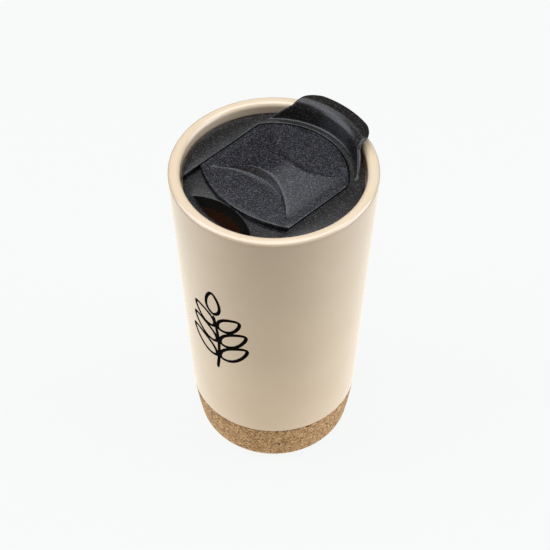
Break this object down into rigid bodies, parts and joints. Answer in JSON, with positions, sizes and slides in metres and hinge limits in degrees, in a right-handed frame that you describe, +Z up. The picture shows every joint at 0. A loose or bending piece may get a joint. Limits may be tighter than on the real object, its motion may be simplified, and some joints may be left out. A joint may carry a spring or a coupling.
{
  "type": "travel tumbler",
  "caption": "Tapered double-wall ceramic travel tumbler with a cork base, a recessed press-in lid, a lifting tab and a sliding cover over the drink opening.",
  "frame": {"origin": "centre of the flat base, on the surface that the tumbler stands on", "axes": "+Z up along the tumbler's axis; the lifting tab is at +45 degrees from +X towards +Y, and the drink opening is opposite it"},
  "size_m": [0.089, 0.089, 0.16],
  "materials": {
    "glaze": "satin cream glaze",
    "cork": "pressed cork granules, unfinished",
    "lid_plastic": "charcoal moulded plastic, fine satin texture",
    "slider_plastic": "charcoal moulded plastic with a fine mineral fleck",
    "silicone": "matt silicone",
    "ink": "black enamel print on the glaze"
  },
  "bodies": {
    "cup": {"ceramic_body": "glaze", "cork_base": "cork", "vent_plug": "silicone"},
    "gasket": {"lid_gasket": "silicone"},
    "lid": {"lid_body": "lid_plastic"},
    "slider": {"slider_top": "slider_plastic", "slider_carrier": "lid_plastic", "slider_seal": "silicone"}
  },
  "joints": [
    {"name": "lid_lift", "type": "slide", "parent": "cup", "child": "gasket", "axis": [0, 0, 1], "range_m": [0, 0.06]},
    {"name": "lid_turn", "type": "hinge", "parent": "gasket", "child": "lid", "pos_m": [0, 0, 0.14], "axis": [0, 0, 1], "continuous": true},
    {"name": "slider_slide", "type": "slide", "parent": "lid", "child": "slider", "axis": [-0.7071, -0.7071, 0], "range_m": [0, 0.011]}
  ]
}
